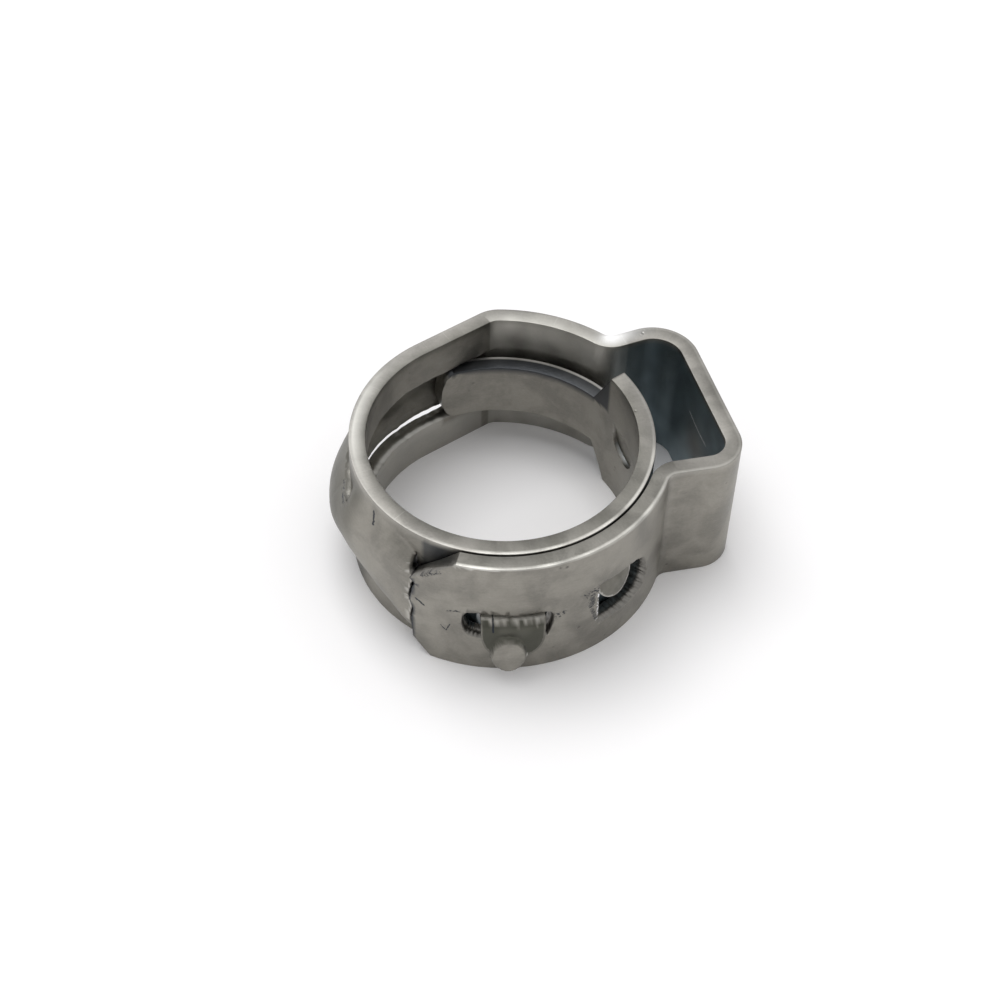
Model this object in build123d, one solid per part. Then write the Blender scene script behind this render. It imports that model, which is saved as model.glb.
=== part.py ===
from build123d import *
from build123d import SkipClean
import os
from math import acos, asin, cos, degrees, radians, sin, tan

# Ear hose clamp: one stainless strip, rolled into a ring of about one and a third turns.
# The bore axis is Z, the ring lies on its lower band edge at z = 0 and the ear points along +X.
# Angles are counted anticlockwise from the middle of the ear, in degrees. Lengths are in mm.

# strip
band_width = 7.0
band_thickness = 0.75
edge_round = 0.12

# ring and its layers
bore_radius = 6.05
layer_gap = 0.10
tongue_headroom = 0.35

# ear
ear_reach = 9.42
ear_front_half = 3.85
ear_back_half = 4.10
ear_leg_flare = 5.0
ear_front_bend = 1.25
ear_back_bend = 1.70
foot_bend = 1.0

# free outer end, its clipped corners and the gap to the raised tunnel that it butts against
outer_end_angle = 221.3
butt_gap = 0.05
upper_clip_length = 2.15
upper_clip_height = 1.95
lower_clip_length = 1.05
lower_clip_height = 1.00

# tunnel that the tongue slides into: a centre strip pressed outwards between two rails
kink_angle = 77.3
kink_bend = 1.2
tunnel_low = 2.0
tunnel_high = 5.1
tunnel_straight_end = 172.0
tunnel_mouth_start = 176.0
tunnel_mouth_full = 200.0
tunnel_mouth_rise = 0.70
tunnel_mouth_low = 0.85
tunnel_mouth_high = 6.15
tunnel_mouth_slope = 0.55
tunnel_ramp_share = 0.70

# inner end: shoulders that narrow the strip to the tongue
shoulder_angle = 18.3
shoulder_length = 1.09
tongue_width = 2.9
tongue_tip_angle = 100.6
tongue_tip_length = 0.75

# windows in the outer layer
window_corner = 0.55
long_window_angle = 255.65
long_window_length = 4.06
long_window_low = 2.15
long_window_high = 3.90
load_window_angle = 298.9
load_window_length = 3.15
load_window_low = 1.60
load_window_high = 4.60
load_window_lobe = 1.35

# hook tabs lanced from the inner layer
lance_gap = 0.06
hook_bulge = 0.62
load_hook_width = 2.35
load_hook_depth = 1.80
load_hook_lift = 0.80
load_hook_root = 4.55
load_hook_seat = 0.04
spare_hook_angle = 4.0
guide_hook_angle = 257.1
guide_hook_width = 2.9
guide_hook_root = 3.75
guide_hook_tip = 0.72
guide_hook_thickness = 0.45
guide_hook_standoff = 0.04
guide_hook_bend_radius = 0.28

# rounded nib pressed out of the guide hook's tip
nib_width = 1.6
nib_height = 1.45
nib_rise = 0.28
nib_round = 0.20
nib_shift = -0.25

# allowances of the shaping steps
margin = 1.0
hook_sweep = 60.0
touching = 1e-6

# sizes that follow
half_thickness = band_thickness / 2
inner_outside = bore_radius + band_thickness
inner_mid = bore_radius + half_thickness
outer_inside = inner_outside + layer_gap
outer_mid = outer_inside + half_thickness
outer_outside = outer_inside + band_thickness
raised_mid = inner_outside + tongue_headroom + half_thickness
mouth_outside = inner_outside + tunnel_mouth_rise
mouth_mid = mouth_outside - half_thickness
beyond = outer_outside + ear_reach


def polar(radius, angle):
    return Vector(radius * cos(radians(angle)), radius * sin(radians(angle)))


def ring(radius, start, end):
    return CenterArc((0, 0), radius, start, end - start)


def length_angle(length, radius):
    return degrees(length / radius)


def outward_plane(angle, radius=0.0):
    """Faces outwards at this angle: local X runs along the strip, local Y up the band."""
    along = polar(1, angle + 90)
    return Plane(origin=polar(radius, angle), x_dir=along, z_dir=polar(1, angle))


def bent_strip(path, low, high):
    """Strip of the band's thickness that stands on a flat path, from one height to another."""
    outline = offset(path, amount=half_thickness, side=Side.BOTH)
    return extrude(Pos(0, 0, low) * make_face(outline.edges()), high - low)


def ring_sector(inside, outside, start, end, low, high):
    """Piece of a tube between two radii, two angles and two heights."""
    near = ring(inside, 0, end - start)
    far = ring(outside, 0, end - start)
    outline = [near, far, Line(near @ 0, far @ 0), Line(near @ 1, far @ 1)]
    return Rot(0, 0, start) * extrude(Pos(0, 0, low) * make_face(outline), high - low)


def rolled_edges(wall, heights):
    """Takes the sharpness off the long edges at these heights."""
    edges = []
    for edge in wall.edges():
        box = edge.bounding_box()
        level = any(abs(box.min.Z - z) < touching and abs(box.max.Z - z) < touching for z in heights)
        if level and edge.length > band_thickness + half_thickness / 2:
            edges.append(edge)
    return chamfer(edges, edge_round)


# Outer layer: from the free outer end, round the front, through the ear and over the tongue.
front_foot_angle = -degrees(asin(ear_front_half / outer_mid))
back_foot_angle = degrees(asin(ear_back_half / raised_mid))
front_foot = polar(outer_mid, front_foot_angle)
back_foot = polar(raised_mid, back_foot_angle)
ear_wall = ear_reach + half_thickness
leg_slope = tan(radians(ear_leg_flare))
front_corner = Vector(ear_wall, -ear_front_half - leg_slope * (ear_wall - front_foot.X))
back_corner = Vector(ear_wall, ear_back_half + leg_slope * (ear_wall - back_foot.X))
kink = polar(raised_mid, kink_angle)
landing_angle = kink_angle + degrees(acos(inner_mid / raised_mid))
landing = polar(inner_mid, landing_angle)

outer_path = Wire([
    ring(outer_mid, outer_end_angle - 360, front_foot_angle),
    Line(front_foot, front_corner),
    Line(front_corner, back_corner),
    Line(back_corner, back_foot),
    ring(raised_mid, back_foot_angle, kink_angle),
    Line(kink, landing),
])
for corner, bend in (
    (front_foot, foot_bend),
    (front_corner, ear_front_bend),
    (back_corner, ear_back_bend),
    (back_foot, foot_bend),
    (kink, kink_bend),
):
    nearest = outer_path.vertices().sort_by_distance(corner)[0]
    outer_path = outer_path.fillet_2d(bend, [nearest])
outer_layer = rolled_edges(bent_strip(outer_path, 0, band_width), (0, band_width))

# Clipped corners of the free end.
end_frame = outward_plane(outer_end_angle)
upper_clip = Polyline(
    (-margin, band_width + margin),
    (-margin, band_width - upper_clip_height * (1 + margin / upper_clip_length)),
    (upper_clip_length * (1 + margin / upper_clip_height), band_width + margin),
    close=True,
)
lower_clip = Polyline(
    (-margin, -margin),
    (-margin, lower_clip_height * (1 + margin / lower_clip_length)),
    (lower_clip_length * (1 + margin / lower_clip_height), -margin),
    close=True,
)
for clip in (upper_clip, lower_clip):
    outer_layer -= extrude(end_frame * make_face(clip), beyond)


# Windows: a long slot for the guide hook, and one with a straight left edge for the load hook.
def window_prism(angle, sketch):
    return extrude(outward_plane(angle, inner_outside) * sketch, beyond)


long_window_height = long_window_high - long_window_low
long_window = Pos(0, long_window_low + long_window_height / 2) * RectangleRounded(
    long_window_length, long_window_height, window_corner)
outer_layer -= window_prism(long_window_angle, long_window)

load_window_height = load_window_high - load_window_low
load_window_left = -load_window_length / 2
load_window = Pos(-load_window_lobe / 2, load_window_low + load_window_height / 2) * Rectangle(
    load_window_length - load_window_lobe, load_window_height)
load_window += Pos(
    load_window_length / 2 - load_window_lobe, load_window_low + load_window_height / 2) * Ellipse(
    load_window_lobe, load_window_height / 2)
outer_layer -= window_prism(load_window_angle, load_window)

# Inner layer: the bore. The tunnel takes the first part of it and the hooks the rest.
tunnel_start = kink_angle - length_angle(kink_bend, raised_mid)
mouth_end = outer_end_angle - length_angle(butt_gap, mouth_mid)
tunnel_wall = rolled_edges(
    ring_sector(bore_radius, inner_outside, landing_angle, mouth_end, 0, band_width),
    (0, band_width))
hook_wall = rolled_edges(
    ring_sector(bore_radius, inner_outside, mouth_end, shoulder_angle + 360, 0, band_width),
    (0, band_width))

# Tongue: slanted shoulders, a narrow run and a rounded tip.
tongue_low = (band_width - tongue_width) / 2
tongue_high = (band_width + tongue_width) / 2
shoulder_end_angle = shoulder_angle + length_angle(shoulder_length, inner_mid)
shoulders = ring_sector(
    bore_radius, inner_outside, shoulder_angle, shoulder_end_angle, 0, band_width)
shoulder_slope = Polyline(
    (0, 0),
    (shoulder_length, tongue_low),
    (shoulder_length, tongue_high),
    (0, band_width),
    (-shoulder_length, band_width),
    (-shoulder_length, 0),
    close=True,
)
shoulders &= extrude(outward_plane(shoulder_angle) * make_face(shoulder_slope), beyond)
tongue = ring_sector(
    bore_radius, inner_outside, shoulder_angle, tongue_tip_angle, tongue_low, tongue_high)
tip_outline = Pos(-tongue_tip_length, band_width / 2) * Ellipse(tongue_tip_length, tongue_width / 2)
tip_outline += Pos(-tongue_tip_length - beyond / 2, band_width / 2) * Rectangle(beyond, tongue_width)
tongue &= extrude(outward_plane(tongue_tip_angle) * tip_outline, beyond)

# Tunnel: the band between the rails is cut free and stands outside them as one raised strip.
raised_path = Wire([
    ring(raised_mid, tunnel_start, tunnel_straight_end),
    ThreePointArc(
        polar(raised_mid, tunnel_straight_end),
        polar(
            mouth_mid + (raised_mid - mouth_mid) * tunnel_ramp_share,
            (tunnel_straight_end + tunnel_mouth_full) / 2),
        polar(mouth_mid, tunnel_mouth_full)),
    ring(mouth_mid, tunnel_mouth_full, mouth_end),
])
raised_strip = bent_strip(raised_path, tunnel_low, tunnel_high)


def is_crest(edge):
    return edge.geom_type == GeomType.CIRCLE and abs(edge.radius - mouth_outside) < touching


channel = ring_sector(bore_radius / 2, beyond, tunnel_start, mouth_end, tunnel_low, tunnel_high)
outer_layer -= channel
tunnel_wall -= channel

# Swelling of the wall round the mouth, with sloping sides.
mouth_back = ring(bore_radius, tunnel_mouth_start, mouth_end)
mouth_lead = Line(mouth_back @ 0, polar(mouth_outside, tunnel_mouth_full))
mouth_crest = ring(mouth_outside, tunnel_mouth_full, mouth_end)
mouth_face = make_face([mouth_back, mouth_lead, mouth_crest, Line(mouth_back @ 1, mouth_crest @ 1)])
swelling = extrude(Pos(0, 0, tunnel_mouth_low) * mouth_face, tunnel_mouth_high - tunnel_mouth_low)
swelling = chamfer(swelling.edges().filter_by(is_crest), tunnel_mouth_slope)
tunnel_wall += swelling
tunnel_wall -= ring_sector(
    bore_radius / 2, mouth_mid, tunnel_mouth_start, mouth_end, tunnel_low, tunnel_high)


# Hook tabs: lanced from the inner layer along a U and drawn outwards below an uncut root.
def tab_outline(width, root, tip, gap=0.0):
    """U shape that hangs from its root, in the plane seen from outside."""
    side = width / 2 + gap
    shoulder = tip + width / 2
    upper = Polyline((-side, shoulder), (-side, root), (side, root), (side, shoulder))
    lower = ThreePointArc((-side, shoulder), (0, tip - gap), (side, shoulder))
    return make_face(upper.edges() + lower.edges())


def add_hook(wall, frame, outline, slit, section):
    """Cuts the slit through the wall and adds the drawn tab, a section turned about the bore."""
    turned = revolve(Plane.XZ * section, Axis.Z, hook_sweep)
    start = Axis.X.direction.get_signed_angle(frame.z_dir, Axis.Z.direction) - hook_sweep / 2
    tab = Rot(0, 0, start) * turned & extrude(frame * outline, beyond)
    return wall - extrude(frame * slit, beyond) + tab


load_hook_tip = load_hook_root - load_hook_depth
load_section = make_face([
    Line((bore_radius, load_hook_root), (inner_outside, load_hook_root)),
    ThreePointArc(
        (inner_outside, load_hook_root),
        (inner_outside + hook_bulge * load_hook_lift, (load_hook_root + load_hook_tip) / 2),
        (inner_outside + load_hook_lift, load_hook_tip)),
    Line((inner_outside + load_hook_lift, load_hook_tip), (bore_radius + load_hook_lift, load_hook_tip)),
    ThreePointArc(
        (bore_radius + load_hook_lift, load_hook_tip),
        (bore_radius + hook_bulge * load_hook_lift, (load_hook_root + load_hook_tip) / 2),
        (bore_radius, load_hook_root)),
])
load_outline = tab_outline(load_hook_width, load_hook_root, load_hook_tip)
load_slit = tab_outline(load_hook_width, load_hook_root, load_hook_tip, lance_gap)
load_hook_place = load_window_left + load_hook_seat + load_hook_width / 2
load_frame = Plane(outward_plane(load_window_angle).location * Pos(load_hook_place, 0))
spare_frame = outward_plane(spare_hook_angle)
for frame in (load_frame, spare_frame):
    hook_wall = add_hook(hook_wall, frame, load_outline, load_slit, load_section)

# The guide hook comes out through the long window and folds down over its lower edge.
guide_hook_mid = outer_outside + guide_hook_standoff + guide_hook_thickness / 2
guide_hook_fold = (guide_hook_mid, guide_hook_root - (guide_hook_mid - inner_mid) / 4)
guide_path = Wire(Polyline(
    (inner_mid, guide_hook_root),
    guide_hook_fold,
    (guide_hook_mid, guide_hook_tip - margin),
).edges())
guide_corner = guide_path.vertices().sort_by_distance(guide_hook_fold)[0]
guide_path = guide_path.fillet_2d(guide_hook_bend_radius, [guide_corner])
guide_section = make_face(offset(guide_path, amount=guide_hook_thickness / 2, side=Side.BOTH).edges())
guide_outline = tab_outline(guide_hook_width, guide_hook_root + margin, guide_hook_tip)
guide_slit = tab_outline(guide_hook_width, guide_hook_root, guide_hook_tip, lance_gap)
guide_frame = outward_plane(guide_hook_angle)
hook_wall = add_hook(hook_wall, guide_frame, guide_outline, guide_slit, guide_section)

nib_face = guide_hook_mid + guide_hook_thickness / 2 + nib_rise
nib_plane = guide_frame * Pos(nib_shift, guide_hook_tip + nib_height / 2, guide_hook_mid)
nib = extrude(nib_plane * Ellipse(nib_width / 2, nib_height / 2), nib_face - guide_hook_mid)
nib_crest = nib.faces().sort_by(SortBy.DISTANCE)[-1].edges()
hook_wall += fillet(nib_crest, nib_round)

# The bore keeps one face for each stretch: rails, hook wall, shoulders and tongue.
with SkipClean():
    clamp_band = outer_layer + tunnel_wall + hook_wall + shoulders + tongue + raised_strip

os.makedirs("parts", exist_ok=True)
export_step(clamp_band.solid(), "parts/clamp_band.step")
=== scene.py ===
from math import acos, asin, atan2, cos, degrees, hypot, radians, sin, sqrt, tan
from types import SimpleNamespace

import bmesh
import bpy
import numpy as np
from mathutils import Matrix, Vector, noise


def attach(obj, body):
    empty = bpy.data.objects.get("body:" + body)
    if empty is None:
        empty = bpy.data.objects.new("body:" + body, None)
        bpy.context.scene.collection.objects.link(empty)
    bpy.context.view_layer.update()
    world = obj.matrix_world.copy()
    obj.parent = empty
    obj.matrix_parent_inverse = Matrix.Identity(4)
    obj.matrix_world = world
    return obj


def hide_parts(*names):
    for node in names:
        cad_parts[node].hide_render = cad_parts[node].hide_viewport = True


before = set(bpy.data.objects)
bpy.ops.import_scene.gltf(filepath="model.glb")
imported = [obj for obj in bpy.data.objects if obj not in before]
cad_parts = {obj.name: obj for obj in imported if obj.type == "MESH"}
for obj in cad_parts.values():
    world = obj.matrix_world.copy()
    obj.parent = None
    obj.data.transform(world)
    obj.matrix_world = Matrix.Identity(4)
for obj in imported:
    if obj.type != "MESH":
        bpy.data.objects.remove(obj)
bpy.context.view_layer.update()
print("frame loaded:", sorted(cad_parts))

mm = 0.001
patternUnit = 10  # the flat pattern's map is in centimetres

# The strip as it leaves the press, before rolling: x runs along it from the free outer end
# to the tongue tip, y up its width, z through its thickness with the outside of the ring up.
# Angles are those of the rolled ring, anticlockwise from the middle of the ear. Lengths in mm.
strip = {
    "width": 7.0,
    "thickness": 0.75,
    "innerMid": 6.425,  # radii of the strip's middle in each layer
    "outerMid": 7.275,
    "raisedMid": 7.525,  # over the tongue
    "mouthMid": 7.125,
    "earWall": 9.795,
    "earFront": 3.85,
    "earBack": 4.10,
    "legFlare": 5.0,
    "frontBend": 1.25,
    "backBend": 1.70,
    "footBend": 1.0,
    "kinkAngle": 77.3,
    "kinkBend": 1.2,
    "outerEnd": -138.7,
    "tabsPast": 230.0,  # the tabs are lanced from the inner layer, past this angle
    "shoulder": 378.3,
    "shoulderLength": 1.09,
    "tongueWidth": 2.9,
    "tongueTip": 460.6,
    "tongueTipLength": 0.75,
    "upperClip": (2.15, 1.95),
    "lowerClip": (1.05, 1.00),
    "edgeRound": 0.045,
    "insideRound": 0.17,
    "outsideRound": 0.09,
    "squareEnd": 0.6,  # the free end stays unrounded this far in
    "kerf": 0.05,
    "pathStep": 0.01,
}


def polar(radius, angle):
    return np.array([radius * cos(radians(angle)), radius * sin(radians(angle))])


def unit(v):
    return v / hypot(v[0], v[1])


def angleOf(v):
    return degrees(atan2(v[1], v[0]))


def circleMeetsLine(radius, start, direction, near):
    # where a circle about the bore axis crosses a line, on the side of a known point
    b = float(start @ direction)
    root = sqrt(b * b - float(start @ start) + radius * radius)
    hits = [start + direction * (-b + root), start + direction * (-b - root)]
    return min(hits, key=lambda h: hypot(*(h - near)))


def arcPoints(centre, radius, first, last):
    count = max(3, int(abs(radians(last - first)) * radius / strip["pathStep"]))
    turns = np.radians(np.linspace(first, last, count))
    return np.stack([centre[0] + radius * np.cos(turns), centre[1] + radius * np.sin(turns)], 1)


def walk(points):
    # distance gone along a line of points
    return np.concatenate([[0], np.cumsum(np.hypot(*np.diff(points, axis=0).T))])


def footArc(ringRadius, foot, leg, intoEar):
    # the bend between the ring and a leg of the ear, and the ring angle where it starts
    bend = strip["footBend"]
    outward = np.array([leg[1], -leg[0]])
    centre = circleMeetsLine(ringRadius + bend, foot + outward * bend, leg, foot)
    toRing, toLeg = angleOf(-centre), angleOf(-outward)
    if intoEar:
        return arcPoints(centre, bend, toRing, toRing - (toRing - toLeg) % 360), angleOf(centre)
    return arcPoints(centre, bend, toLeg, toLeg - (toLeg - toRing) % 360), angleOf(centre)


def cornerArc(corner, before, after, bend):
    turn = (angleOf(after) - angleOf(before)) % 360
    start = corner - before * bend * tan(radians(turn) / 2)
    centre = start + np.array([-before[1], before[0]]) * bend
    first = angleOf(start - centre)
    return arcPoints(centre, bend, first, first + turn)


def stripPath():
    # middle line of the strip once it is rolled
    s = strip
    slope = tan(radians(s["legFlare"]))
    frontFoot = polar(s["outerMid"], -degrees(asin(s["earFront"] / s["outerMid"])))
    backFoot = polar(s["raisedMid"], degrees(asin(s["earBack"] / s["raisedMid"])))
    frontCorner = np.array([s["earWall"], -s["earFront"] - slope * (s["earWall"] - frontFoot[0])])
    backCorner = np.array([s["earWall"], s["earBack"] + slope * (s["earWall"] - backFoot[0])])
    frontLeg = unit(frontCorner - frontFoot)
    backLeg = unit(backFoot - backCorner)
    earWall = np.array([0.0, 1.0])
    frontArc, frontAngle = footArc(s["outerMid"], frontFoot, frontLeg, intoEar=True)
    backArc, backAngle = footArc(s["raisedMid"], backFoot, backLeg, intoEar=False)

    # past the kink a straight run steps down to the bore
    kink = polar(s["raisedMid"], s["kinkAngle"])
    landingAngle = s["kinkAngle"] + degrees(acos(s["innerMid"] / s["raisedMid"]))
    joggle = unit(polar(s["innerMid"], landingAngle) - kink)
    inward = np.array([-joggle[1], joggle[0]])
    bend = s["kinkBend"]
    kinkCentre = circleMeetsLine(s["raisedMid"] - bend, kink + inward * bend, joggle, kink)
    runs = [
        arcPoints((0, 0), s["outerMid"], s["outerEnd"], frontAngle),
        frontArc,
        cornerArc(frontCorner, frontLeg, earWall, s["frontBend"]),
        cornerArc(backCorner, earWall, backLeg, s["backBend"]),
        backArc,
        arcPoints((0, 0), s["raisedMid"], backAngle, angleOf(kinkCentre)),
        arcPoints(kinkCentre, bend, angleOf(kinkCentre), angleOf(-inward)),
        arcPoints((0, 0), s["innerMid"], landingAngle, s["tongueTip"]),
    ]

    # even steps, straight runs between the bends included
    points = np.concatenate(runs)
    far = np.concatenate([[True], np.hypot(*np.diff(points, axis=0).T) > 1e-5])
    points = points[far]
    walked = walk(points)
    reach = np.arange(0, walked[-1], s["pathStep"])
    x = np.interp(reach, walked, points[:, 0])
    y = np.interp(reach, walked, points[:, 1])
    return reach, x, y, np.degrees(np.unwrap(np.arctan2(y, x)))


pathReach, pathX, pathY, pathAngle = stripPath()
pathAngle += strip["outerEnd"] - pathAngle[0]
stripLength = float(pathReach[-1])
headingX, headingY = np.gradient(pathX), np.gradient(pathY)
headingLength = np.hypot(headingX, headingY)
headingX, headingY = headingX / headingLength, headingY / headingLength
print("strip length %.2f mm" % stripLength)


def reachAt(angle):
    # how far along the flat strip an angle of the rolled ring lies
    return float(np.interp(angle, pathAngle, pathReach))


def jag(x, y, size, seed):
    # small sheared unevenness, the same on every run
    pitch = 3.1
    return size * noise.noise(Vector((x * pitch + seed, y * pitch, seed * 1.7)))


def smoothStep(a, b, x):
    t = np.clip((x - a) / (b - a), 0, 1)
    return t * t * (3 - 2 * t)


def hump(value, middle, spread):
    return np.exp(-(((value - middle) / spread) ** 2))


def newObject(name, mesh):
    obj = bpy.data.objects.new(name, mesh)
    bpy.context.scene.collection.objects.link(obj)
    return obj


def meshFrom(bm, name):
    mesh = bpy.data.meshes.new(name)
    bm.to_mesh(mesh)
    bm.free()
    return mesh


# Windows, by ring angle and height, and how ragged their sheared edges are
windows = {
    "long": {
        "ragged": 0.03,
        "outline": (
            (268.7, 2.12), (268.9, 2.14), (270.2, 2.6), (270.8, 3.1), (270.7, 3.5), (269.9, 3.76),
            (268.2, 3.88), (264.2, 3.88), (259.3, 3.84), (254.5, 3.90), (249.6, 3.95), (244.5, 3.93),
            (241.9, 3.86), (240.6, 3.6), (240.2, 3.2), (240.5, 2.72), (241.7, 2.36), (243.3, 2.25),
            (246.0, 2.15), (252.0, 2.12), (260.0, 2.10), (265.0, 2.10),
        ),
    },
    "load": {
        "ragged": 0.06,
        "outline": (
            (287.2, 4.44), (287.2, 4.42), (287.6, 1.64), (287.7, 1.62), (289.8, 1.66), (292.0, 1.60),
            (294.4, 1.66), (296.4, 1.59), (298.6, 1.64), (300.4, 1.58), (303.0, 1.66), (306.0, 1.66),
            (309.2, 1.76), (310.6, 1.98), (311.2, 2.40), (311.1, 2.90), (310.2, 3.40), (308.5, 3.90),
            (306.0, 4.20), (303.5, 4.36), (301.0, 4.40), (296.0, 4.43),
        ),
    },
}

# Lanced tabs. The guide hook ends in a round nib.
louvered = {"width": 2.15, "root": 4.52, "tip": 2.85, "end": 2.85, "crown": 0.25, "fullness": 2.0,
            "depth": 1.0, "thinned": 0.0, "pitch": 0.12}
hooks = {
    "load": {"angle": 295.4, **louvered},
    "spare": {"angle": 364.0, **louvered},
    "guide": {"angle": 257.2, "width": 2.86, "root": 3.74, "tip": 1.10, "end": 0.60, "crown": 0.0,
              "fullness": 2.3, "depth": 0.85, "thinned": 0.4, "pitch": 0.08},
}
nib = {"shift": 0.20, "half": 0.82, "height": 1.42, "reach": 0.82, "rise": 0.28, "flat": 0.88}

# The tunnel that the tongue slides into, and the torn crack at the mouth's end. Pairs give
# a value at a ring angle, and for the drift at a height.
tunnel = {
    "low": 2.0,
    "high": 5.1,
    "slitStart": 80.5,
    "slitEnd": 183.0,
    "slitRagged": 0.06,
    "rampStart": 172.0,
    "rampEnd": 205.0,
    "settled": 125,
    "crestMid": 7.43,
    "steepest": 0.7,
    # where the arch across the raised strip meets the rails, and how flat its top is
    "footLow": ((100, 0.30), (148, 0.40), (172, 1.10), (183, 1.40), (200, 1.25), (221, 0.80)),
    "footHigh": ((100, 5.62), (172, 5.62), (186, 6.45), (195, 6.58), (208, 6.55), (215, 6.20),
                 (219, 5.80), (221, 5.62)),
    "power": ((100, 2.0), (183, 2.0), (200, 2.6), (212, 4.0), (221, 9.0)),
    "crack": 221.3,
    "gap": 0.13,
    "crackLow": 0.80,
    "crackHigh": 5.80,
    "crackRagged": 0.025,
    # how the crack wanders round the ring as it goes up
    "drift": ((0.8, 0.12), (1.07, 0.09), (1.6, 0.03), (2.18, 0.01), (2.6, 0.08), (2.99, 0.13),
              (3.3, 0.0), (3.57, -0.07), (4.07, 0.04), (4.5, 0.10), (4.78, 0.25), (4.9, 0.12),
              (5.06, -0.04), (5.38, -0.09), (6.4, -0.05)),
}


def rounded(outline, passes=3):
    # corners cut again and again until the outline reads as a curve
    points = np.array(outline, float)
    for _ in range(passes):
        ahead = np.roll(points, -1, axis=0)
        points = np.stack([points * 0.75 + ahead * 0.25, points * 0.25 + ahead * 0.75], 1).reshape(-1, 2)
    return points


def windowOutlines():
    outlines = []
    for window in windows.values():
        size = window["ragged"]
        flat = [(reachAt(angle - 360), height) for angle, height in window["outline"]]
        outlines.append([(x + jag(x * 3, y * 3, size, 2.1), y + jag(x * 3, y * 3, size, 5.5))
                         for x, y in rounded(flat)])
    return outlines


def tabOutline(name, margin=0.0):
    # where a tab is lanced, from the left end of its root round to the right end,
    # or the same line drawn in by a margin, without the nib
    hook, steps = hooks[name], 80
    centre = reachAt(hook["angle"])
    side, tip, fullness = hook["width"] / 2 - margin, hook["tip"] + margin, hook["fullness"]
    line = [(centre - side, hook["root"])]
    for step in range(steps + 1):
        # steps crowd towards the sides, where the line is steep
        crowded = 0.5 - 0.5 * cos(radians(180 * step / steps))
        across = -side + 2 * side * (0.35 * step / steps + 0.65 * crowded)
        sag = (1 - min(1, abs(across / side)) ** fullness) ** (1 / fullness)
        y = tip + side * hook["depth"] * (1 - sag)
        if name == "guide" and not margin:
            offset = (across + nib["shift"]) / nib["half"]
            if abs(offset) < 1:
                y = min(y, nib["height"] - nib["reach"] * sqrt(1 - offset * offset))
        line.append((centre + across, y))
    line.append((centre + side, hook["root"]))
    return line


def bladeOutline(line):
    # both sides of a cutting line, half a kerf each way
    points = np.array(line, float)
    along = np.gradient(points, axis=0)
    along /= np.hypot(along[:, 0], along[:, 1])[:, None]
    across = np.stack([-along[:, 1], along[:, 0]], 1) * strip["kerf"] / 2
    return [tuple(p) for p in points + across] + [tuple(p) for p in (points - across)[::-1]]


def crackDrift(y):
    heights, drifts = zip(*tunnel["drift"])
    return float(np.interp(y, heights, drifts)) + jag(y * 1.6, 1.0, tunnel["crackRagged"], 3.3)


slitX = np.linspace(reachAt(tunnel["slitStart"]), reachAt(tunnel["slitEnd"]), 90)
slitLow = np.array([tunnel["low"] + jag(x, 2.0, tunnel["slitRagged"], 1.3) for x in slitX])
slitHigh = np.array([tunnel["high"] + jag(x, 5.0, tunnel["slitRagged"], 7.9) for x in slitX])
crackY = np.linspace(tunnel["crackLow"], tunnel["crackHigh"], 60)
crackX = np.array([reachAt(tunnel["crack"]) + crackDrift(y) for y in crackY])


def blankOutline():
    s = strip
    w, end, tip = s["width"], stripLength, s["tongueTipLength"]
    narrow = (w - s["tongueWidth"]) / 2
    shoulder = reachAt(s["shoulder"])
    tipSteps, endSteps = 16, 48
    outline = [(s["lowerClip"][0], 0), (shoulder, 0)]
    outline += [(shoulder + s["shoulderLength"], narrow), (end - tip, narrow)]
    for step in range(1, tipSteps):
        turn = radians(-90 + step * 180 / tipSteps)
        outline.append((end - tip + tip * cos(turn), w / 2 + s["tongueWidth"] / 2 * sin(turn)))
    outline += [(end - tip, w - narrow), (shoulder + s["shoulderLength"], w - narrow)]
    outline += [(shoulder, w), (s["upperClip"][0], w)]
    # the free end is sheared a little unevenly
    low, high = s["lowerClip"][1], w - s["upperClip"][1]
    for step in range(endSteps + 1):
        y = high - (high - low) * step / endSteps
        outline.append((tunnel["gap"] + crackDrift(y), y))
    return outline


def prism(bm, outline, low=-1.0, high=1.0):
    # an outline in the flat pulled up through the thickness
    face = bm.faces.new([bm.verts.new((x, y, low)) for x, y in outline])
    if face.normal.z == 0:
        face.normal_update()
    if face.normal.z > 0:
        face.normal_flip()
    grown = bmesh.ops.extrude_face_region(bm, geom=[face])["geom"]
    top = [v for v in grown if isinstance(v, bmesh.types.BMVert)]
    bmesh.ops.translate(bm, vec=(0, 0, high - low), verts=top)


def fixNormals(bm):
    bmesh.ops.recalc_face_normals(bm, faces=bm.faces[:])


def roundRim(bm, sign, rounding):
    # the long edges of one side of the blank
    skin, shortest = strip["thickness"] * 0.49, 0.25
    rim = [e for e in bm.edges if e.calc_length() > shortest
           and all(v.co.z * sign > skin and v.co.x > strip["squareEnd"] for v in e.verts)]
    bmesh.ops.bevel(bm, geom=rim, offset=rounding, segments=4, profile=0.5, affect="EDGES",
                    clamp_overlap=True, material=-1)


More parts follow.
